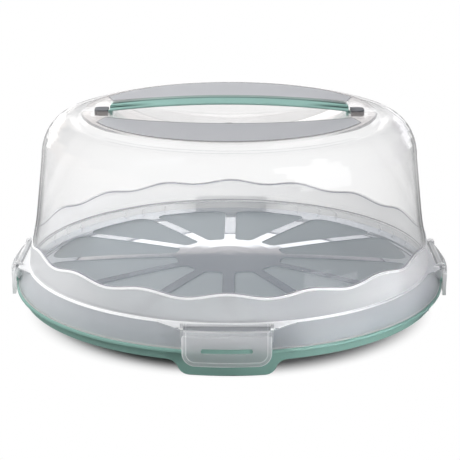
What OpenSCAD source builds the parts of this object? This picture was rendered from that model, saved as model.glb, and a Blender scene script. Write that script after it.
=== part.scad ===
// Round cake carrier: a footed base tray, a sliced serving plate, a clear dome lid
// with four swinging clips, and a carrying handle that bridges a scoop in the lid.
// Millimetres. Z is up and the tray's feet stand on z = 0. The front clip faces -Y.

/* [Base tray] */
// outer diameter of the tray's rim
rim_d = 340; // [300:1:400]
// height of the open arch between two feet
foot_h = 12.8; // [10:0.2:16]
// height of the tray's skirt, from the arch to the ledge
tray_skirt_h = 9.6; // [8:0.2:12]
// thickness of the light lip that runs round the tray
tray_lip_h = 2.8; // [2:0.1:4]
// wall thickness of the tray
tray_wall = 2.4; // [2:0.1:3]
// width of the flat that one foot stands on
foot_w = 51.8; // [40:0.2:64]
// radius of a foot's rounded corners and of the hollows above them
foot_r = 9; // [7:0.5:11]
// width of the catch that shows through a clip's window
catch_w = 35; // [24:1:40]

/* [Serving plate] */
// how many slices the plate marks out
slices = 12; // [6:1:16]
// width of a spoke between two slices
spoke_w = 9.2; // [6:0.2:12]
// diameter of the plain hub
hub_d = 86; // [70:1:110]
// how far the middle stands above the plate's edge
plate_rise = 6.3; // [3:0.1:9]
// how deep the matte fields lie below the spokes
field_depth = 0.5; // [0.3:0.1:0.9]
// thickness of the plate
plate_wall = 2; // [1.6:0.1:2.6]

/* [Lid] */
// height of the flat top above the table
lid_h = 157.1; // [130:0.5:200]
// wall thickness of the lid
lid_wall = 1.8; // [1.5:0.1:2.4]
// diameter of the raised round top
top_d = 227.4; // [220:0.2:236]
// how many waves the frosted band's upper border has
waves = 16; // [12:1:20]
// height of a wave above its middle line
wave_a = 1.8; // [0.8:0.1:2.4]
// height of the waves' middle line above the table
wave_z = 57.3; // [52:0.1:62]
// how far the frosted band stands out of the wall
band_step = 0.6; // [0.3:0.1:0.9]

/* [Handle] */
// half length of the handle, over its feet
handle_x = 92.8; // [88:0.2:96]
// width of the handle's bar
handle_w = 14; // [11:0.5:18]
// thickness of the handle's bar
handle_t = 5.8; // [5:0.1:8]
// height of the handle's middle above the lid's flat top
handle_up = 10.7; // [9:0.1:18]
// how much higher the handle's middle is than its ends
handle_bow = 5.4; // [3:0.1:8]
// depth of the finger scoop below the lid's flat top
scoop_depth = 13.8; // [11:0.2:20]
// half width of the finger scoop
scoop_w = 51; // [40:0.5:56]
// depth of the wells in the top that take the handle's ends
pocket_depth = 4.2; // [4:0.1:6]

/* [Clips] */
// width of a clip
clip_w = 62.4; // [54:0.2:72]
// wall thickness of a clip
clip_t = 2.2; // [1.8:0.1:2.8]
// width of the window in a clip
window_w = 36; // [26:1:42]
// height of the window in a clip
window_h = 4; // [2.4:0.1:4.2]
// radius of the clip's hinge studs
stud_r = 1.25; // [1:0.05:1.6]
// radial play of a hinge stud in its ear
stud_play = 0.05; // [0.02:0.01:0.1]

/* [Hidden] */
$fn = 96;
rim_r = rim_d / 2;
ledge_z = foot_h + tray_skirt_h;
lip_z = ledge_z - tray_lip_h;
// where the lid's skirt stands, and the line where its wall begins
skirt_r = rim_r - 1.4;
line_r = rim_r - 9.7;
line_z = ledge_z + 16.6;
wall_foot_r = rim_r - 13.4;
skirt_slope = (skirt_r - line_r - 0.5) / (line_z - 0.6 - ledge_z);
top_r = top_d / 2;
crest_r = top_r + 10.3;
crest_z = lid_h - 3.1;
shoulder_w = 22.7;
shoulder_h = 31;
shoulder_r = crest_r + shoulder_w;
shoulder_z = crest_z - shoulder_h;
draft = (wall_foot_r - shoulder_r) / (shoulder_z - line_z);
// plate
plate_gap = 1.5;
skirt_in_r = skirt_r - lid_wall * sqrt(1 + skirt_slope * skirt_slope);
plate_r = skirt_in_r - plate_gap;
rim_up = 9.4;
field_r = rim_r - 25.5;
edge_z = ledge_z + 9;
hub_z = edge_z + plate_rise;
// clips
hinge_r = rim_r - 4.2;
hinge_z = line_z - 0.4;
clip_in_r = rim_r + 1.0;
clip_out_r = clip_in_r + clip_t;
clip_bottom_z = foot_h - 0.5;
window_z = ledge_z + 0.87;
barrel_w = clip_w - 2.6;
ear_t = 2.2;
play = 0.3;
shelf_x = 50;
// top
end_x = handle_x + 0.4;
pocket_z = lid_h - pocket_depth;
stud_z = pocket_z + 2.2;
well_r = 4.3;
anchor_l = 10.4;
anchor_w = 14;
anchor_x = handle_x + 1.8;

// a shape drawn in (outward, up) and swept straight across the front, w wide
module across(w) {
  rotate([90, 0, -90])
    linear_extrude(height = w, center = true)
      children();
}

// a shape drawn in (outward, up) and turned through a small angle at the front
module round_front(a) {
  rotate([0, 0, -90 - a / 2])
    rotate_extrude(angle = a, $fn = 180)
      children();
}

// a shape drawn in (sideways, up) and pushed through the front wall
module through_front(y0, y1) {
  translate([0, -y0, 0])
    rotate([90, 0, 0])
      linear_extrude(height = y1 - y0)
        children();
}

module rounded(w, z0, z1, r) {
  translate([-w / 2, z0 + r]) square([w, z1 - z0 - 2 * r]);
  translate([-w / 2 + r, z0]) square([w - 2 * r, z1 - z0]);
  for (x = [-w / 2 + r, w / 2 - r], z = [z0 + r, z1 - r]) translate([x, z]) circle(r = r);
}

// base tray

// one side of a foot: a rounded corner that turns over into a hollow of the same radius
lean = asin((2 * foot_r - foot_h) / (2 * foot_r));
foot_side = concat(
  [for (i = [0 : 9]) let (a = -90 + (90 - lean) * i / 9)
    [foot_w / 2 + foot_r * cos(a), foot_r + foot_r * sin(a)]],
  [for (i = [1 : 8]) let (a = 180 - lean - (84 - lean) * i / 8)
    [foot_w / 2 + foot_r * (2 * cos(lean) + cos(a)), foot_h - foot_r + foot_r * sin(a)]],
  [[foot_w / 2 + 2 * foot_r * cos(lean) + 2, foot_h + 0.2]]);

module foot_outline() {
  n = len(foot_side) - 1;
  polygon(concat(foot_side, [for (i = [n : -1 : 0]) [-foot_side[i][0], foot_side[i][1]]]));
}

function skirt_at(z) = rim_r - 9.6 + 0.33 * z;

module feet_ring() {
  rotate_extrude($fn = 180)
    polygon([[skirt_at(0) - 3, 0], [skirt_at(0) - 0.8, 0], [skirt_at(0), 0.8],
      [skirt_at(foot_h) , foot_h + 0.4], [skirt_at(foot_h) - 3, foot_h + 0.4]]);
}

module base_tray() {
  color([0.62, 0.79, 0.75])
  difference() {
    union() {
      rotate_extrude($fn = 180)
        polygon([
          [0, ledge_z - 1.6], [rim_r * 0.4, ledge_z - 1.8],
          [rim_r - 22, ledge_z - 4.4], [rim_r - 18, ledge_z - 4.4],
          [rim_r - 16, ledge_z], [rim_r - 0.9, ledge_z], [rim_r - 0.2, ledge_z - 0.5], [rim_r, ledge_z - 1.3],
          [rim_r, lip_z + 0.7], [rim_r - 0.5, lip_z], [skirt_at(lip_z), lip_z],
          [skirt_at(foot_h), foot_h], [skirt_at(foot_h) - tray_wall, foot_h],
          [skirt_at(lip_z) - tray_wall - 1.4, ledge_z - tray_wall], [rim_r - 14.4, ledge_z - tray_wall],
          [rim_r - 16.4, ledge_z - 4.4 - tray_wall], [rim_r - 22, ledge_z - 4.4 - tray_wall],
          [rim_r * 0.4, ledge_z - 1.8 - tray_wall], [0, ledge_z - 1.6 - tray_wall]]);
      for (a = [0, 90, 180, 270]) rotate([0, 0, a]) {
        intersection() {
          feet_ring();
          through_front(rim_r - 40, rim_r + 5) foot_outline();
        }
        // two webs behind the foot's face carry the load up to the floor
        for (s = [-1, 1])
          intersection() {
            translate([s * (foot_w / 2 - 2), 0, 0])
              across(2.2)
                polygon([[rim_r - 26, ledge_z - 7.2], [rim_r - 18, 0.6], [skirt_at(0) - 1.5, 0.6],
                  [skirt_at(foot_h) - 1.5, foot_h + 1], [rim_r - 15, ledge_z - 4.6 - tray_wall + 1.2],
                  [rim_r - 26, ledge_z - 5.2 - tray_wall + 1.2]]);
            cylinder(r = skirt_at(0) - 1, h = 60);
          }
        // the catch that a clip's window closes over
        round_front(2 * asin(catch_w / 2 / rim_r))
          polygon([[rim_r - 1, lip_z + 0.7], [rim_r + 0.1, lip_z + 0.7],
            [rim_r + 0.65, window_z - window_h / 2], [rim_r + 0.65, ledge_z + 1.2],
            [rim_r - 0.3, ledge_z + 2.4], [rim_r - 1, ledge_z + 2.4]]);
      }
    }
  }
}

// serving plate

function crown(r) = hub_z - plate_rise * (r / field_r) * (r / field_r) * 0.86;

// radius of the plate's outer wall, h above the ledge that it stands on
function plate_out(h) = plate_r - skirt_slope * h;

function crown_points(drop) = [for (i = [0 : 12]) let (r = field_r * i / 12) [r, crown(r) - drop]];

// one matte field between two spokes, its bisector on +X
module field() {
  h = 180 / slices;
  r1 = 4.6;
  r2 = 10;
  u = [cos(h), sin(h)];
  n = [sin(h), -cos(h)];
  s1 = spoke_w / 2 + r1;
  s2 = spoke_w / 2 + r2;
  k1 = hub_d / 2 + r1;
  k2 = field_r - r2;
  c1 = sqrt(k1 * k1 - s1 * s1) * u + s1 * n;
  c2 = sqrt(k2 * k2 - s2 * s2) * u + s2 * n;
  e = c2 * (field_r / k2);
  intersection() {
    circle(r = field_r);
    union() {
      for (s = [-1, 1]) {
        translate([c1[0], s * c1[1]]) circle(r = r1);
        translate([c2[0], s * c2[1]]) circle(r = r2);
      }
      polygon([[c1[0] - r1, c1[1]], c1 - r1 * n, c2 - r2 * n, c2, e, 1.15 * e,
        [1.15 * e[0], -1.15 * e[1]], [e[0], -e[1]], [c2[0], -c2[1]],
        [c2[0] - r2 * n[0], -c2[1] + r2 * n[1]], [c1[0] - r1 * n[0], -c1[1] + r1 * n[1]],
        [c1[0] - r1, -c1[1]]]);
    }
  }
}

module serving_plate() {
  color([0.55, 0.58, 0.60])
  difference() {
    rotate_extrude($fn = 180)
      polygon(concat(
        crown_points(0),
        [[plate_out(rim_up) - 2, ledge_z + rim_up], [plate_out(rim_up - 0.4) - 0.7, ledge_z + rim_up - 0.3],
          [plate_out(rim_up - 1.6), ledge_z + rim_up - 1.6], [plate_out(0.6), ledge_z + 0.6],
          [plate_r - 0.5, ledge_z], [plate_r - 2.4, ledge_z],
          [plate_out(rim_up - plate_wall) - 2.2, ledge_z + rim_up - plate_wall]],
        [for (i = [12 : -1 : 0]) [field_r * i / 12, crown(field_r * i / 12) - plate_wall]]));
    intersection() {
      for (i = [0 : slices - 1])
        rotate([0, 0, 90 + 180 / slices + i * 360 / slices])
          linear_extrude(height = 80)
            field();
      rotate_extrude($fn = 180)
        polygon(concat(crown_points(field_depth), [[field_r, hub_z + 9], [0, hub_z + 9]]));
    }
  }
}

// dome lid

// the wall leans in with a straight draft and swells a little below the waves
function wall_r(z) = shoulder_r + draft * (shoulder_z - z) + 2.1 / (1 + exp((z - wave_z - 4.7) / 4.5));

wall_n = 16;
wall_points = [for (i = [0 : wall_n])
  let (z = line_z + 0.4 + (shoulder_z - line_z - 0.4) * i / wall_n) [wall_r(z), z]];
shoulder_points = [for (a = [9 : 9 : 90]) [crest_r + shoulder_w * cos(a), shoulder_z + shoulder_h * sin(a)]];
lid_points = concat(
  [[skirt_r + skirt_slope * 2, ledge_z - 2], [line_r + 0.5, line_z - 0.6], [line_r, line_z]],
  [[wall_foot_r + 2.4, line_z + 0.1]],
  [for (i = [1 : wall_n]) wall_points[i]],
  shoulder_points,
  [[crest_r - 2.5, crest_z - 0.6], [crest_r - 4.4, crest_z - 1.7], [crest_r - 5.7, crest_z - 2.1],
    [top_r + 2.9, crest_z - 1.5], [top_r + 1.7, crest_z + 0.4], [top_r + 0.9, lid_h - 1.0],
    [top_r - 0.3, lid_h], [0, lid_h]]);

function seg_n(a, b) = let (d = b - a, l = norm(d)) [d[1] / l, -d[0] / l];
function point_n(p, i) =
  i == 0 ? seg_n(p[0], p[1]) :
  i == len(p) - 1 ? [0, 1] :
  let (m = seg_n(p[i - 1], p[i]) + seg_n(p[i], p[i + 1])) m / norm(m);
function moved_in(p, t) = [for (i = [0 : len(p) - 1])
  let (q = p[i] - t * point_n(p, i)) [i == len(p) - 1 ? 0 : q[0], q[1]]];

module lid_shell() {
  difference() {
    rotate_extrude($fn = 180)
      difference() {
        polygon(concat(lid_points, [[0, ledge_z - 2]]));
        square([rim_r + 20, ledge_z]);
      }
    difference() {
      rotate_extrude($fn = 180)
        polygon(concat(moved_in(lid_points, lid_wall), [[0, ledge_z - 6], [rim_r, ledge_z - 6]]));
      scoop(lid_wall);
      pockets(1.6, 0);
    }
    scoop(0);
    pockets(0, 10);
  }
}

// finger scoop: two bowed sides, and a floor that is part of a wide cylinder
module scoop(t) {
  bow_r = (end_x * end_x + 21 * 21) / 42;
  floor_r = (end_x * end_x + scoop_depth * scoop_depth) / (2 * scoop_depth);
  intersection() {
    translate([0, 0, lid_h - scoop_depth - 5])
      linear_extrude(height = scoop_depth + 5 + (t > 0 ? -0.5 : 5))
        difference() {
          intersection() {
            translate([0, bow_r - scoop_w]) circle(r = bow_r + t, $fn = 180);
            translate([0, scoop_w - bow_r]) circle(r = bow_r + t, $fn = 180);
            square([2 * (end_x + (t > 0 ? t : 4)), 4 * scoop_w], center = true);
          }
          if (t == 0) translate([0, -scoop_w]) circle(r = 3.5);
        }
    translate([0, 0, lid_h - scoop_depth + floor_r])
      rotate([90, 0, 0])
        cylinder(r = floor_r + t, h = 300, center = true, $fn = 180);
  }
}

// the wells in the top that take the handle's feet and their anchors
module pockets(t, up) {
  for (s = [0, 180]) rotate([0, 0, s])
    translate([0, 0, pocket_z - t])
      linear_extrude(height = pocket_depth - 0.5 + t + up)
        end_plan(handle_x - 2.2 - t, anchor_x + anchor_l + 0.3 + t, anchor_w / 2 + 0.3 + t, well_r + t);
}

// a plan seen from above: square towards the middle of the lid, rounded at its outer end
module end_plan(x0, x1, w, r) {
  translate([x0, -w]) square([x1 - r - x0, 2 * w]);
  translate([x0, -w + r]) square([x1 - x0, 2 * w - 2 * r]);
  for (y = [-w + r, w - r]) translate([x1 - r, y]) circle(r = r);
}

module crescents() {
  bow_r = (end_x * end_x + 21 * 21) / 42;
  translate([0, 0, lid_h - 0.2])
    linear_extrude(height = 0.6)
      for (s = [-1, 1])
        difference() {
          intersection() {
            circle(r = top_r - 4.7, $fn = 180);
            polygon([[-end_x + 2.9, s * 20], [end_x - 2.9, s * 20],
              [end_x + 29.1, s * 120], [-end_x - 29.1, s * 120]]);
          }
          intersection() {
            translate([0, bow_r - scoop_w]) circle(r = bow_r + 0.8, $fn = 180);
            translate([0, scoop_w - bow_r]) circle(r = bow_r + 0.8, $fn = 180);
          }
        }
}

// thin skin that follows the wall between two heights
module skin(z0, z1) {
  n = 5;
  rotate_extrude($fn = 180)
    polygon(concat(
      [for (i = [0 : n]) let (z = z0 + (z1 - z0) * i / n) [wall_r(z) + band_step, z]],
      [for (i = [n : -1 : 0]) let (z = z0 + (z1 - z0) * i / n) [wall_r(z) - 0.8, z]]));
}

// the frosted band's upper border is an even wave, cut by one outline for each dip
module dip_outline() {
  p = wall_r(wave_z) * sin(180 / waves);
  n = 18;
  w = 0.93 * p;
  polygon(concat([for (i = [0 : n]) let (x = -w + 2 * w * i / n) [x, wave_z - wave_a * cos(180 * x / p)]],
    [[w, wave_z + 8], [-w, wave_z + 8]]));
}

module wavy_band() {
  r = wall_r(wave_z);
  difference() {
    skin(line_z - 0.2, wave_z + wave_a * cos(180 * 0.07) - 0.02);
    for (i = [0 : waves - 1]) rotate([0, 0, (i + 0.5) * 360 / waves])
      through_front(r - 8, r + 3) dip_outline();
  }
}

module clip_ears() {
  b = barrel_w / 2;
  shelf_y = sqrt(line_r * line_r - shelf_x * shelf_x);
  difference() {
    union() {
      // shelf that tapers back into the wall on both sides of the clip
      difference() {
        translate([0, 0, line_z - 1.8])
          linear_extrude(height = 1.7)
            polygon([[-shelf_x - 2, -wall_foot_r * 0.93], [-shelf_x, -shelf_y], [-b - 3.3, -hinge_r - 1.4],
              [-b - play, -hinge_r - 1.4], [-b - play, -hinge_r + 3.2], [b + play, -hinge_r + 3.2],
              [b + play, -hinge_r - 1.4], [b + 3.3, -hinge_r - 1.4], [shelf_x, -shelf_y],
              [shelf_x + 2, -wall_foot_r * 0.93], [0, -wall_foot_r * 0.93]]);
        cylinder(r = wall_foot_r + 1, h = 200, $fn = 180);
      }
      for (s = [-1, 1])
        translate([s * (b + play + ear_t / 2), 0, 0])
          across(ear_t) {
            translate([hinge_r, hinge_z]) circle(r = 3.4);
            polygon([[line_r - 0.6, line_z - 0.4], [line_r + 1.6, ledge_z + 9.6],
              [hinge_r - 0.2, ledge_z + 5.6], [hinge_r + 2.6, hinge_z - 2.2],
              [hinge_r + 1, hinge_z + 2.6], [hinge_r - 2.4, hinge_z + 2.4]]);
          }
    }
    across(clip_w + 20)
      translate([hinge_r, hinge_z]) circle(r = stud_r + stud_play, $fn = 48);
  }
}

module dome_lid() {
  color([0.86, 0.88, 0.90, 0.35])
  union() {
    lid_shell();
    wavy_band();
    crescents();
    for (a = [0, 90, 180, 270]) rotate([0, 0, a]) clip_ears();
    // short ribs inside the skirt keep the lid centred over the plate
    for (a = [0, 90, 180, 270], b = [-36, -29.5, -22, 22, 29.5, 36]) rotate([0, 0, a + b])
      across(1.4)
        polygon([[skirt_in_r + 0.3 - skirt_slope * 13, ledge_z + 13],
          [skirt_in_r + 0.5 - skirt_slope * 2.5, ledge_z + 2.5],
          [skirt_in_r - 0.8 - skirt_slope * 3.2, ledge_z + 3.2],
          [skirt_in_r - 0.8 - skirt_slope * 12.4, ledge_z + 12.4]]);
    // wall between the handle's foot and its anchor
    for (s = [0, 180]) rotate([0, 0, s])
      difference() {
        translate([handle_x + 0.2, -anchor_w / 2 - 0.6, pocket_z - 0.4])
          cube([1.4, anchor_w + 1.2, lid_h - pocket_z + 0.4]);
        translate([handle_x - 5, 0, stud_z])
          rotate([0, 90, 0]) cylinder(r = 1.4, h = 20, $fn = 48);
      }
  }
}

// handle

module bar_section() {
  w = handle_w / 2;
  t = handle_t;
  half = [[-t, w - 1.1], [-t + 0.5, w - 0.3], [-0.78 * t, w],
    [-0.7 * t, w - 0.15], [-0.35, w - 2.7], [0, w - 3.5]];
  n = len(half) - 1;
  polygon(concat([for (i = [n : -1 : 0]) [half[i][0], -half[i][1]]], half));
}

module carry_handle() {
  bow_r = (handle_x * handle_x + handle_bow * handle_bow) / (2 * handle_bow);
  g = asin(handle_x / bow_r);
  top = lid_h + handle_up;
  color([0.62, 0.79, 0.75])
  union() {
    difference() {
      translate([0, 0, top - bow_r])
        rotate([90, 0, 0]) rotate([0, 0, 90 - g])
          rotate_extrude(angle = 2 * g, $fn = 720)
            translate([bow_r, 0]) bar_section();
      // grooves on the slanted sides, turned a little so that they run out towards the middle
      for (s = [-1, 1], e = [0, 180]) rotate([0, 0, e])
        translate([handle_x, 0, top - bow_r]) rotate([0, 0, s * 1.1]) translate([-handle_x, 0, 0])
          rotate([90, 0, 0]) rotate([0, 0, 90 - g - 1])
            rotate_extrude(angle = g * 0.6 + 1, $fn = 720)
              translate([bow_r - 0.36 * handle_t, s * (handle_w / 2 - 1.35)])
                rotate(s * 35) square([1.3, 1.3], center = true);
      // rounded corners at both ends of the bar
      for (e = [0, 180]) rotate([0, 0, e])
        difference() {
          translate([handle_x - 3, -20, lid_h - 5]) cube([6, 40, 40]);
          translate([handle_x - 3.2, 0, top - handle_bow - 3.2])
            rotate([90, 0, 0]) cylinder(r = 3.2, h = 60, center = true);
          translate([handle_x - 10, -30, lid_h - 6]) cube([10, 60, top - handle_bow - 3.2 - lid_h + 6]);
        }
    }
    // feet: a leg at each end with a stud that snaps into the anchor
    for (e = [0, 180]) rotate([0, 0, e]) {
      translate([handle_x - 1.8, -5, pocket_z + 0.3])
        cube([1.8, 10, top - handle_bow - handle_t - pocket_z + 2.5]);
      translate([handle_x - 1, 0, stud_z])
        rotate([0, 90, 0]) cylinder(r = 1.3, h = 6.2, $fn = 48);
    }
  }
}

module anchor() {
  color([0.42, 0.43, 0.45])
  difference() {
    translate([0, 0, pocket_z])
      linear_extrude(height = pocket_depth + 0.5)
        end_plan(anchor_x, anchor_x + anchor_l, anchor_w / 2, well_r - 0.3);
    translate([anchor_x - 1, 0, stud_z])
      rotate([0, 90, 0]) cylinder(r = 1.35, h = 5.6, $fn = 48);
  }
}

module right_handle_anchor() { anchor(); }
module left_handle_anchor() { rotate([0, 0, 180]) anchor(); }

// clips

module clip() {
  sweep = 2 * asin((clip_w / 2 + 4) / clip_in_r);
  plate_top = hinge_z - 4.6;
  color([0.80, 0.82, 0.84, 0.6])
  difference() {
    union() {
      // barrel, studs and the web that carries the plate
      across(barrel_w)
        translate([hinge_r, hinge_z]) circle(r = 2.4);
      across(barrel_w + 2 * ear_t - 0.2)
        translate([hinge_r, hinge_z]) circle(r = stud_r, $fn = 48);
      intersection() {
        round_front(sweep)
          polygon([[hinge_r + 0.4, hinge_z + 2.2], [hinge_r + 2.6, hinge_z + 1.4],
            [clip_in_r - 0.2, hinge_z - 0.6],
            [clip_out_r - 0.8, hinge_z - 3.4], [clip_out_r, hinge_z - 6], [clip_out_r, hinge_z - 8],
            [clip_in_r, hinge_z - 8], [clip_in_r - 0.2, hinge_z - 5], [clip_in_r - 1.6, hinge_z - 2.7],
            [hinge_r + 2.2, hinge_z - 0.9]]);
        translate([-barrel_w / 2, -rim_r - 20, 0]) cube([barrel_w, 60, 100]);
      }
      // plate, bowed like the tray's rim, with a raised border
      intersection() {
        round_front(sweep)
          polygon([[clip_in_r, 0], [clip_out_r, 0], [clip_out_r, 90], [clip_in_r, 90]]);
        through_front(rim_r - 20, rim_r + 20) rounded_low(clip_w, clip_bottom_z, plate_top, 9);
      }
      intersection() {
        round_front(sweep)
          polygon([[clip_in_r + 1, 0], [clip_out_r + 0.5, 0], [clip_out_r + 0.5, 90], [clip_in_r + 1, 90]]);
        through_front(rim_r - 20, rim_r + 20)
          difference() {
            rounded_low(clip_w, clip_bottom_z, plate_top, 9);
            rounded_low(clip_w - 5.2, clip_bottom_z + 2.6, plate_top - 1.6, 6.6);
          }
      }
    }
    // window over the catch
    through_front(rim_r - 8, rim_r + 20)
      rounded(window_w, window_z - window_h / 2, window_z + window_h / 2, window_h * 0.3);
  }
}

module rounded_low(w, z0, z1, r) {
  translate([-w / 2, z0 + r]) square([w, z1 - z0 - r - 2]);
  translate([-w / 2 + 2, z0 + r]) square([w - 4, z1 - z0 - r]);
  translate([-w / 2 + r, z0]) square([w - 2 * r, 2 * r]);
  for (x = [-w / 2 + r, w / 2 - r]) translate([x, z0 + r]) circle(r = r);
  for (x = [-w / 2 + 2, w / 2 - 2]) translate([x, z1 - 2]) circle(r = 2);
}

module front_clip() { clip(); }
module right_clip() { rotate([0, 0, 90]) clip(); }
module back_clip() { rotate([0, 0, 180]) clip(); }
module left_clip() { rotate([0, 0, -90]) clip(); }

base_tray();
serving_plate();
dome_lid();
carry_handle();
left_handle_anchor();
right_handle_anchor();
front_clip();
right_clip();
back_clip();
left_clip();
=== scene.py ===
# %% [markdown]
# # A cake carrier with a clear lift-off lid
# The carrier stands on a white table: a mint tray, a grey serving plate, a clear dome with four
# swinging clips, and a mint handle between two dark anchors. The imported model is the frame: every
# piece is already in place and full size, in metres, so no mesh is made or moved here. This lesson
# gives each piece its finish, and adds the table, the lamps and the camera.

# %% Load the imported model
import bpy
import math
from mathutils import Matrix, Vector

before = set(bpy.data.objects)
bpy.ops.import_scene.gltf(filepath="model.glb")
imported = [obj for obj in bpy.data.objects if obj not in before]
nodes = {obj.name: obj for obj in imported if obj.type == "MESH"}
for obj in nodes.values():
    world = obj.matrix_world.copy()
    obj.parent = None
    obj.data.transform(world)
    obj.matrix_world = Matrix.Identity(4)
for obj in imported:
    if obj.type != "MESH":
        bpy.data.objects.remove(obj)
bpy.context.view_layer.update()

print("pieces:", sorted(nodes))

# %% [markdown]
# ## Small tools for colours and shader sums
# Paint is written down as it looks on a screen, from 0 to 255, and a shader wants plain light, so
# one function turns the first into the second. A finish that changes from place to place is worked
# out with Math nodes. Wired one by one they are slow to read, so a small class wraps a socket and
# turns Python sums into Math nodes.

# %% Colours as they look on a screen
def seen(red, green, blue):
    """a colour read from 0 to 255, as plain light with its fourth number"""
    def light(value):
        value = value / 255
        return value / 12.92 if value <= 0.04045 else ((value + 0.055) / 1.055) ** 2.4
    return (light(red), light(green), light(blue), 1.0)


white, black = seen(255, 255, 255), seen(0, 0, 0)
print("middle grey on a screen is", round(seen(128, 128, 128)[0], 3), "of white's light")


# %% A socket that can be used in sums
class Wire:
    def __init__(self, finish, socket):
        self.finish, self.socket = finish, socket

    def maths(self, how, *values):
        return self.finish.node("ShaderNodeMath", {"operation": how}, dict(enumerate(values)))

    def __add__(self, other): return self.maths("ADD", self, other)
    def __radd__(self, other): return self.maths("ADD", other, self)
    def __sub__(self, other): return self.maths("SUBTRACT", self, other)
    def __rsub__(self, other): return self.maths("SUBTRACT", other, self)
    def __mul__(self, other): return self.maths("MULTIPLY", self, other)
    def __rmul__(self, other): return self.maths("MULTIPLY", other, self)
    def __truediv__(self, other): return self.maths("DIVIDE", self, other)
    def __pow__(self, other): return self.maths("POWER", self, other)
    def __abs__(self): return self.maths("ABSOLUTE", self)


def most(first, second):
    return first.maths("MAXIMUM", first, second)


def least(first, second):
    return first.maths("MINIMUM", first, second)


# %% A finish, and the one method that adds a node to it
class Finish:
    def __init__(self, name, owner=None):
        self.material = owner or bpy.data.materials.new(name)
        self.material.use_nodes = True
        self.tree = self.material.node_tree
        self.tree.nodes.clear()
        kind = "ShaderNodeOutputWorld" if owner else "ShaderNodeOutputMaterial"
        self.out = self.tree.nodes.new(kind)

    def node(self, kind, settings=None, values=None, give=0):
        made = self.tree.nodes.new(kind)
        for name, value in (settings or {}).items():
            setattr(made, name, value)
        for name, value in (values or {}).items():
            if isinstance(value, Wire):
                self.tree.links.new(value.socket, made.inputs[name])
            else:
                made.inputs[name].default_value = value
        return Wire(self, made.outputs[give])

    def between(self, share, first, second):
        """a colour, share of the way from the first to the second"""
        return self.node("ShaderNodeMix", {"data_type": "RGBA"},
                         {"Factor": share, 6: first, 7: second}, give=2)

    def number(self, share, first, second):
        """a number, share of the way from the first to the second"""
        return self.node("ShaderNodeMix", {}, {"Factor": share, 2: first, 3: second})

    def blend(self, share, first, second):
        """a surface, share of the way from the first to the second"""
        return self.node("ShaderNodeMixShader", {}, {"Fac": share, 1: first, 2: second})

    def step(self, value, low, high, start=0.0, end=1.0):
        """value from low to high, smoothly, as start to end"""
        return self.node("ShaderNodeMapRange", {"interpolation_type": "SMOOTHSTEP"},
                         {"Value": value, "From Min": low, "From Max": high,
                          "To Min": start, "To Max": end})

    def line(self, value, wide, narrow):
        """1 where the value is near 0, and 0 further off than wide"""
        return self.step(abs(value), wide, narrow)

    def place(self):
        """the three Object coordinates of the point that is shaded, in metres"""
        spot = self.node("ShaderNodeTexCoord", give="Object")
        return [self.node("ShaderNodeSeparateXYZ", {}, {"Vector": spot}, give=i) for i in range(3)]

    def facing(self):
        """0 where the surface is looked at squarely, 1 where it is seen edge-on"""
        return self.node("ShaderNodeLayerWeight", {}, {"Blend": 0.5}, give="Facing")

    def noise(self, scale, detail=3.0):
        spot = self.node("ShaderNodeTexCoord", give="Object")
        return self.node("ShaderNodeTexNoise", {"noise_dimensions": "3D"},
                         {"Vector": spot, "Scale": scale, "Detail": detail})

    def bump(self, height, strength):
        return self.node("ShaderNodeBump", {}, {"Strength": strength, "Distance": grain_depth,
                                                "Height": height})

    def show(self, surface):
        self.tree.links.new(surface.socket, self.out.inputs["Surface"])
        return self.material


def radius(x, y):
    return (x * x + y * y) ** 0.5


# %% Put a finish on pieces
def wear(node_names, material):
    """put one finish on CAD nodes, in the slots that they have"""
    for name in node_names:
        for slot in nodes[name].material_slots:
            slot.material = material
    print(material.name, "on", ", ".join(node_names), "with",
          len(material.node_tree.nodes), "shader nodes")


# %% [markdown]
# ## Heights and radii that the finishes follow
# The finishes change where the moulding changes. A painted picture laid on the pieces would slip
# and blur, so they follow the sizes of the part's source instead: the edges stay sharp at any
# distance. Radii are measured from the middle of the carrier and heights from the table.

# %% Sizes in metres
rim_r, ledge_z = 0.170, 0.0224
line_z, foot_r, draft = 0.0390, 0.1582, 0.208
wave_z, wave_a, waves = 0.0573, 0.0018, 16
lid_h, disc_r = 0.1571, 0.1137
bow_r, bow_y = 0.2173, 0.1663
hub_z, plate_rise, field_r = 0.0377, 0.0063, 0.1445
bar_top, bar_bow, bar_half = 0.1678, 0.0054, 0.0928
clip_half, clip_bottom_z, clip_corner = 0.0312, 0.0123, 0.009
grain_depth = 0.0002
print("tray", rim_r, "m in radius, lid", lid_h, "m high, handle", bar_top, "m high")

# %% [markdown]
# ## Mint plastic for the tray
# The real tray is injection moulded in a soft mint green. Such a skin is satin: it has a fine grain
# from the mould that spreads highlights, and slow drifts of colour where the plastic flowed. One
# flat colour would look like paper, and a scanned picture would repeat, so a fine noise gives the
# grain through a bump and the roughness, and a wide noise gives the drift.

# %% Mint plastic, and the tray's painted shade
def mint_plastic(name, shade, first, second):
    """satin mint between two colours, that goes to a deep green by the painted shade given"""
    f = Finish(name)
    grain = f.noise(1400.0)
    drift = f.noise(9.0, 2.0)
    colour = f.between(f.step(drift, 0.35, 0.65), first, second)
    colour = f.between(shade(f), colour, seen(70, 97, 90))
    skin = f.node("ShaderNodeBsdfPrincipled", {}, {
        "Base Color": colour, "Roughness": f.step(grain, 0.3, 0.7, 0.30, 0.40), "IOR": 1.49,
        "Specular IOR Level": 0.3, "Normal": f.bump(grain, 0.08)})
    return f.show(skin)


def tray_painted_shade(f):
    """painted shade: the mint is a little darker below the lip, and on the rim's outer face too"""
    x, y, z = f.place()
    face = f.step(radius(x, y), rim_r - 0.0016, rim_r - 0.0010)
    return f.step(z, ledge_z - 0.001, ledge_z - 0.004, 0.0, 0.12) + 0.16 * face


# the tray's painted shade: darker below the lip and on the rim's outer face
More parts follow.
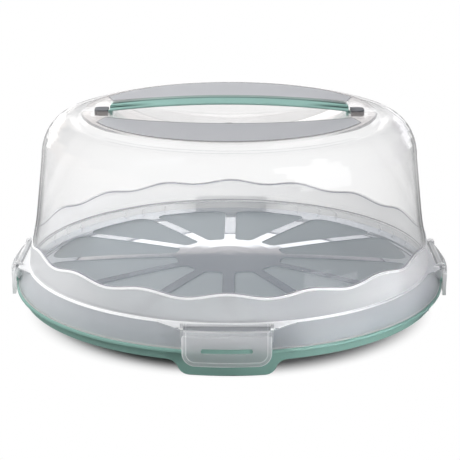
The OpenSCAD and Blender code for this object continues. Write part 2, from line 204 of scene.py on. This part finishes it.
wear(["base_tray"], mint_plastic("mint plastic", tray_painted_shade,
                                 seen(134, 173, 163), seen(140, 178, 168)))

# %% [markdown]
# ## The handle
# The handle is moulded in the same mint. Its long sides face the light and look paler than the
# tray, while its top and the grooves beside it lie in shade. Both are thin, and lamps that darken
# them would darken the dome under them too, so the same plastic is given paler colours as painted
# light, and a painted shade that follows the bar: its top falls away from the middle as a shallow
# bow.

# %% Painted shade on the handle
def handle_painted_shade(f):
    """painted shade on the top of the bar and in the grooves along its slanted sides, more at the
    ends
    """
    x, y, z = f.place()
    over_bow = z - (bar_top - bar_bow * (x * x) / bar_half ** 2)
    top = f.step(over_bow, -0.0009, -0.0003)
    off_groove = abs(y) + 0.0192 * abs(x) - 0.00743
    groove = f.line(off_groove, 0.0008, 0.0004) * f.step(over_bow, -0.0012, -0.0016)
    ends = f.step(abs(x), 0.055, 0.085)
    return top * (0.72 + 0.28 * ends) + groove * ends


# paler colours than the tray's: painted light on the same mint
wear(["carry_handle"], mint_plastic("mint plastic of the handle", handle_painted_shade,
                                    seen(166, 207, 197), seen(172, 213, 203)))

# %% [markdown]
# ## The serving plate
# The plate is one grey moulding, but its twelve slices are matte and sunk half a millimetre below
# the polished spokes, hub and rim. Two materials on two sets of faces would need a changed mesh.
# The source says how high the crown is at each radius, so what lies within a quarter of a
# millimetre of the crown is polished, and what lies lower is matte.

# %% Grey plastic, matte in the slices and polished on the spokes
def grey_plastic():
    f = Finish("grey plastic")
    x, y, z = f.place()
    around = radius(x, y)
    crown = hub_z - 0.86 * plate_rise / field_r ** 2 * around * around
    on_crown = f.step(z - crown, -0.00036, -0.00024)
    on_rim = f.step(around, field_r - 0.0002, field_r + 0.0002)
    polished = most(on_crown, on_rim) * f.step(around, 0.1602, 0.1598)
    grain = f.noise(1800.0)
    cloud = f.noise(14.0, 2.0)
    matte = f.between(f.step(cloud, 0.3, 0.7), seen(152, 160, 165), seen(158, 166, 170))
    skin = f.node("ShaderNodeBsdfPrincipled", {}, {
        "Base Color": f.between(polished, matte, seen(191, 197, 203)),
        "Roughness": f.step(polished, 0.0, 1.0, 0.52, 0.05),
        "IOR": 1.55, "Metallic": polished * 0.9,
        "Normal": f.bump(grain * (1 - polished), 0.15)})
    return f.show(skin)


wear(["serving_plate"], grey_plastic())

# %% [markdown]
# ## Dark anchors
# The two blocks that hold the handle's feet are a dark grey plastic with a fine satin grain. Their
# tops catch the light and their sides stand in narrow wells, so the colour goes to near black just
# below the top. Soft lamps alone would leave the sides too pale.

# %% Dark plastic
def dark_plastic():
    f = Finish("dark plastic")
    grain = f.noise(1600.0)
    top = f.between(f.step(grain, 0.3, 0.7), seen(110, 112, 116), seen(118, 120, 124))
    z = f.place()[2]
    skin = f.node("ShaderNodeBsdfPrincipled", {}, {
        "Base Color": f.between(f.step(z, lid_h - 0.0005, lid_h), seen(12, 13, 15), top),
        "Roughness": f.step(grain, 0.3, 0.7, 0.44, 0.54), "IOR": 1.35,
        "Specular IOR Level": 0.15, "Normal": f.bump(grain, 0.1)})
    return f.show(skin)


wear(["left_handle_anchor", "right_handle_anchor"], dark_plastic())

# %% [markdown]
# ## A film over a clear surface
# Clear plastic could be made as real glass, whose rays bend at both faces of each thin wall. That
# is slow, and it is grainy where several walls stand behind one another. Thin walls hardly bend
# what is behind them, so the dome and the clips are a transparent surface that mirrors more the
# flatter one looks along it, under a film of paint. The film covers a share of what is behind it:
# almost none on clear plastic, some on frosted plastic and nearly all on a white edge. Part of the
# film glows with the light that falls on its far side. A Translucent shader's colour isn't among
# the sockets that may change over a surface, so two of them, one white and one black, are blended
# by how bright the film's colour is.

# %% Clear and frosted film
def see_through(f, cover, colour, rough, mirror_rough, mirrors, glowing):
    """film that covers this share of what is behind it, over a clear surface that mirrors"""
    mirror = (0.018 + 0.85 * f.facing() ** 5) * mirrors
    clear = f.node("ShaderNodeBsdfTransparent")
    shine = f.node("ShaderNodeBsdfPrincipled", {}, {
        "Base Color": white, "Metallic": 1.0, "Roughness": mirror_rough})
    skin = f.node("ShaderNodeBsdfPrincipled", {}, {
        "Base Color": colour, "Roughness": rough, "IOR": 1.49})
    lit, unlit = [f.node("ShaderNodeBsdfTranslucent", {}, {"Color": paint})
                  for paint in (white, black)]
    glow = f.blend(f.node("ShaderNodeRGBToBW", {}, {"Color": colour}), unlit, lit)
    return f.blend(cover, f.blend(mirror, clear, shine), f.blend(glowing, skin, glow))


def paint_zones(f, cover, colour, zones):
    """where a zone's mask is 1, the film takes that zone's cover and colour"""
    for mask, share, paint in zones:
        cover = f.number(mask, cover, share)
        colour = f.between(mask, colour, paint)
    return cover, colour


# %% [markdown]
# ## The dome's wall and skirt
# The dome is one clear moulding. Its skirt and the lower part of its wall are frosted, up to a wavy
# border, and the rolled edges gather light: their white is a painted highlight on the border, the
# flange at the wall's foot and the hem that stands on the tray. On the far side of the dome the
# border and the foot are seen from within, painted as thin grey lines of shade. Each of these is a
# zone with a mask of its own, made from the height and the radius, with a soft edge of a few tenths
# of a millimetre.

# %% Zones of the wall and the skirt
def wall_zones(f, spot):
    x, y, z, around, facing = spot
    turns = waves * x.maths("ARCTAN2", x, y)
    over_waves = z - (wave_z + wave_a * turns.maths("COSINE", turns))
    inner_r = 0.1552 - draft * (z - wave_z)
    inner = f.step(around - inner_r, 0.0002, -0.0002)
    frosted = f.step(facing, 0.10, 0.55)
    # the white of the border, the flange and the hem is painted highlight, and the grey back line
    # and foot line are painted shade
    return {
        "skirt": (f.step(z, line_z - 0.0004, line_z - 0.0008),
                  0.36 + 0.25 * frosted, seen(226, 230, 234)),
        "band": (f.step(over_waves, 0.0002, -0.0002) * f.step(z, line_z + 0.0002, line_z + 0.0006),
                 0.34 + 0.40 * frosted, seen(244, 245, 246)),
        "border": (f.line(over_waves, 0.0011, 0.0005), 0.96, white),
        "back line": (inner * f.line(over_waves, 0.0009, 0.0004), 0.55, seen(130, 130, 150)),
        "foot line": (f.line(z - line_z - 0.0008, 0.0008, 0.0004)
                      * f.step(around, foot_r + 0.0002, foot_r - 0.0002),
                      0.7, seen(120, 122, 134)),
        "flange": (f.line(z - (line_z - 0.0002), 0.0009, 0.0005), 0.95, white),
        "hem": (f.step(z, ledge_z + 0.0014, ledge_z + 0.0008), 0.75, seen(250, 246, 246)),
    }


# %% [markdown]
# ## The dome's top
# The raised round top has a finger scoop between two frosted crescents. The crescents stand 0.4
# millimetres proud, which marks them off by height, and both are outlined: a broad grey edge
# outside, that narrows to the left and right, and a thin one along the scoop and beside the
# handle's feet. The scoop's two sides are bows of one radius, so the distance from a bow's middle
# tells how near its side is.

# %% Zones of the top
def top_zones(f, spot):
    x, y, z, around, facing = spot
    top = f.step(around, 0.1300, 0.1280) * f.step(z, 0.1420, 0.1430)
    from_bow = radius(x, abs(y) + bow_y)
    scooped = (f.step(from_bow, bow_r + 0.0005, bow_r - 0.0003) * f.step(z, 0.1420, 0.1430)
               * f.step(z, lid_h - 0.0009, lid_h - 0.0019))
    disc = (f.step(around, disc_r, disc_r - 0.0006)
            * f.step(z, lid_h - 0.0012, lid_h - 0.0006))
    by_anchors = (f.step(abs(x), 0.084, 0.089) * f.step(abs(x), 0.1075, 0.1050)
                  * f.step(abs(y), 0.034, 0.022))
    roll = (f.step(around, disc_r - 0.0002, disc_r + 0.0006) * f.step(around, 0.1290, 0.1265)
            * f.step(z, 0.1495, 0.1505))
    rim = (f.step(around, disc_r - 0.0005, disc_r - 0.0002)
           * f.step(z, lid_h - 0.0017, lid_h - 0.0013) * f.step(facing, 0.32, 0.46))
    panel = f.step(z, lid_h + 0.00012, lid_h + 0.00022)
    slant = abs(x) - 0.32 * abs(y)
    front_or_back = (y * y) / 0.0119
    edge = ((disc - panel) * f.step(around, 0.1086, 0.1090) * f.step(slant, 0.0845, 0.0835)
            * f.step(around - 0.0020 * front_or_back, 0.1102, 0.1098))
    trim = panel * most(f.step(from_bow, bow_r + 0.0027, bow_r + 0.0017),
                        f.step(slant, 0.0830, 0.0836))
    wells = (f.step(abs(x), 0.0880, 0.0905) * f.step(abs(y), 0.0085, 0.0072)
             * f.step(z, 0.1510, 0.1516))
    # the near-white roll between the top and the shoulder is a faint painted highlight
    return {
        "top": (top, 0.05, seen(240, 222, 210)),
        "scooped": (scooped, 0.08, seen(200, 160, 140)),
        "disc": (disc, 0.34 - 0.20 * by_anchors, seen(190, 166, 160)),
        "roll": (roll, 0.04, seen(250, 249, 248)),
        "rim": (rim, 0.5, seen(90, 88, 98)),
        "panel": (panel, 0.85, seen(218, 219, 225)),
        "edge": (edge, 0.75, seen(110, 112, 124)),
        "trim": (trim, 0.8, seen(150, 152, 162)),
        "wells": (wells, 0.0, seen(210, 211, 218)),
    }


# %% [markdown]
# ## The dome's finish
# Between the zones the dome is clear. At its outline one looks through the wall edge-on, where a
# real dome turns dark grey, so there the film covers more and its colour deepens. The fine grain of
# the frosted zones only roughens them, and the rolled top mirrors less than the polished wall.

# %% Clear plastic
def clear_plastic():
    f = Finish("clear plastic")
    x, y, z = f.place()
    facing = f.facing()
    spot = (x, y, z, radius(x, y), facing)
    zones = {**wall_zones(f, spot), **top_zones(f, spot)}
    mask = {name: zone[0] for name, zone in zones.items()}
    by_angle = 0.03 * f.step(facing, 0.10, 0.60) + 0.66 * f.step(facing, 0.80, 0.96)
    cover = 0.008 + by_angle * (1 - mask["top"])
    colour = f.between(f.step(facing, 0.60, 0.84), seen(236, 222, 216), seen(84, 84, 96))
    cover, colour = paint_zones(f, cover, colour, zones.values())
    grain = f.step(f.noise(1500.0), 0.3, 0.7, 0.30, 0.40)
    rough = 0.10 + most(mask["band"], mask["panel"]) * grain
    mirrors = 1 - 0.7 * most(mask["roll"], mask["disc"]) - 0.2 * mask["wells"]
    glowing = 0.55 - 0.45 * most(mask["border"], mask["flange"])
    return f.show(see_through(f, cover, colour, rough, 0.04, mirrors, glowing))


wear(["dome_lid"], clear_plastic())

# %% [markdown]
# ## Frosted clips
# The clips are thicker and milky. Their raised border gathers light along both of its edges, so
# two white lines of painted highlight run round the plate of each clip, and one more along the
# ridge under its barrel.
# The lines could be drawn on four unwrapped meshes, but the four clips share one finish more
# simply: the nearer of the two level axes is the way out, and the other one runs along the clip.

# %% Frosted plastic
def frosted_plastic():
    f = Finish("frosted plastic")
    x, y, z = f.place()
    along = least(abs(x), abs(y))
    side = along - (clip_half - clip_corner)
    low = (clip_bottom_z + clip_corner) - z
    round_corner = radius(most(side, 0.0), most(low, 0.0))
    past_edge = round_corner + least(most(side, low), 0.0) - clip_corner
    outer_line = f.step(past_edge, -0.0008, -0.0004)
    inner_line = f.line(past_edge + 0.0029, 0.0005, 0.0002)
    ridge = f.line(z - 0.0370, 0.0008, 0.0004)
    lines = most(most(outer_line, inner_line), ridge)
    # the milky colour is painted darker towards the bottom, as painted shade
    milk_and_painted_shade = f.between(f.step(z, 0.0150, 0.0280), seen(222, 226, 230), seen(244, 246, 250))
    colour = f.between(lines, milk_and_painted_shade, white)
    # painted shade on a strip below the barrel's top, and a painted highlight on the barrel's top
    # above it
    colour = f.between(f.step(z, 0.0376, 0.0380), colour, seen(160, 165, 176))
    colour = f.between(f.step(z, 0.0400, 0.0404), colour, seen(250, 250, 252))
    rough = f.step(f.noise(1500.0), 0.3, 0.7, 0.22, 0.32)
    return f.show(see_through(f, 0.62 + 0.3 * lines, colour, rough, 0.12, 1.0, 0.75))


wear(["front_clip", "right_clip", "back_clip", "left_clip"], frosted_plastic())

# %% [markdown]
# ## The table
# The carrier stands on a white sweep without a horizon. A wide sheet lit to pure white would burn
# out the shadow, so the table is a matte cloth near the carrier, where it takes the shadow, and
# glows pure white further out. The camera sees that change close to the carrier. Mirrored rays, and
# rays that pass through plastic, see it further out, which keeps the mirrored table from washing
# out the tray. For light that bounces, the cloth is darker than it looks.

# %% Table
bpy.ops.object.select_all(action="DESELECT")
bpy.ops.mesh.primitive_plane_add(size=12, location=(0, 3, 0))
table = bpy.context.object
table.name = "table"


def white_table():
    f = Finish("white table")
    spot = f.node("ShaderNodeNewGeometry", give="Position")
    x, y = [f.node("ShaderNodeSeparateXYZ", {}, {"Vector": spot}, give=i) for i in range(2)]
    away = radius(x, y)
    looked_at, mirrored, let_through = [
        f.node("ShaderNodeLightPath", give=name)
        for name in ("Is Camera Ray", "Is Glossy Ray", "Is Transmission Ray")]
    dimmer_right = 1 - 0.6 * f.step(x, 0.15, 0.70)
    white_share = most(looked_at * f.step(away, 0.138, 0.166),
                       most(mirrored * dimmer_right, let_through) * f.step(away, 0.22, 0.60))
    cloth = f.node("ShaderNodeBsdfPrincipled", {}, {
        "Base Color": f.between(looked_at, (0.26, 0.26, 0.26, 1), (0.80, 0.80, 0.80, 1)),
        "Roughness": 0.9, "Specular IOR Level": 0.0})
    glow = f.node("ShaderNodeEmission", {}, {"Color": white, "Strength": 1.0})
    return f.show(f.blend(white_share, cloth, glow))


table.data.materials.append(white_table())
print("table", [round(side, 2) for side in table.dimensions[:2]], "m")

# %% [markdown]
# ## Lamps
# The light is soft and comes from large areas, as in a studio: a tall window at the right, two
# softboxes at the left and a bright wall behind. One lamp that did everything would either burn out
# the clear dome with its reflection or leave the tray in shade. So the window only shows in
# reflections, the softboxes only light, and the wall is mirrored by the plate's polished spokes. A
# small card low at the right lifts the front of the tray.

# %% Lamps
def lamp(name, place, aim, wide, high, watts):
    data = bpy.data.lights.new(name, "AREA")
    data.shape, data.size, data.size_y, data.energy = "RECTANGLE", wide, high, watts
    made = bpy.data.objects.new(name, data)
    bpy.context.scene.collection.objects.link(made)
    made.location = place
    made.rotation_euler = (Vector(aim) - Vector(place)).to_track_quat("-Z", "Y").to_euler()
    print(name, wide, "x", high, "m,", watts, "W")
    return made


lid_middle = (0, 0, 0.1)
window = lamp("tall window at the right", (1.04, -0.70, 0.70), (0.05, -0.13, 0.138), 0.9, 1.4, 8.0)
window.visible_diffuse = False
for softbox in (lamp("softbox behind at the left", (-0.9, 0.7, 1.15), lid_middle, 1.0, 1.0, 10.0),
                lamp("softbox at the left", (-1.25, -0.60, 0.95), lid_middle, 1.0, 0.6, 15.0)):
    softbox.visible_glossy = False
behind = lamp("bright wall behind", (0, 1.7, 0.28), (0, 0, 0.28), 3.0, 0.5, 5.5)
behind.visible_camera = False
low_card = lamp("low card at the right", (0.60, -0.66, 0.07), (0.105, -0.13, 0.010),
                0.16, 0.12, 0.11)
low_card.data.spread = math.radians(24)
low_card.visible_glossy = False

# %% [markdown]
# ## The room
# A polished dome shows the room it stands in. Here that is a bright wall all round, warm at the
# left and dimmer at the right, with a cooler grey above it. The line between them is straight on
# each of four walls, as in a square room, and its reflection gives the dome's shoulder its edge.
# The camera itself, and rays that pass through plastic, see plain white instead.

# %% World
def studio():
    world = bpy.data.worlds.new("studio")
    bpy.context.scene.world = world
    f = Finish("studio", world)
    way = f.node("ShaderNodeTexCoord", give="Generated")
    right, back, up = [f.node("ShaderNodeSeparateXYZ", {}, {"Vector": way}, give=i)
                       for i in range(3)]
    slope = up / most(abs(right), abs(back))
    wall = f.between(f.step(right, -0.25, 0.45), seen(255, 249, 245), seen(146, 142, 156))
    above = f.between(f.step(right, -0.7, 0.9), seen(177, 179, 182), seen(164, 167, 173))
    room = f.node("ShaderNodeBackground", {}, {
        "Color": f.between(f.step(slope, 0.3160, 0.3215), wall, above)})
    plain = f.node("ShaderNodeBackground", {}, {"Color": white, "Strength": 1.0})
    looked_at, let_through = [f.node("ShaderNodeLightPath", give=name)
                              for name in ("Is Camera Ray", "Is Transmission Ray")]
    f.show(f.blend(most(looked_at, let_through), room, plain))
    print("world with", len(f.tree.nodes), "shader nodes")


studio()
bpy.context.scene.cycles.transparent_max_bounces = 32

# %% [markdown]
# ## The camera
# The photograph looks down on the carrier by 17 degrees, from a little over a metre away. How much
# wider the front clip looks than the back one gives that distance, and the flatness of the tray's
# round rim gives the angle. The view isn't squared up: the camera stands half a degree to the right
# and its frame is shifted by less than a pixel.

# %% Camera
away, up = 1.0466, 0.3778
turn, look_down = math.radians(0.58), math.radians(16.963)
photo_width = 460
lens = bpy.data.cameras.new("camera")
lens.sensor_width, lens.lens = 36.0, 106.81
lens.shift_x = 0.7 / photo_width
lens.clip_end = 50
camera = bpy.data.objects.new("camera", lens)
bpy.context.scene.collection.objects.link(camera)
camera.location = (away * math.sin(turn), -away * math.cos(turn), up)
camera.rotation_euler = (math.radians(90) - look_down, 0, turn)
bpy.context.scene.camera = camera
bpy.context.scene.view_settings.view_transform = "Standard"
print("camera at", [round(value, 3) for value in camera.location])
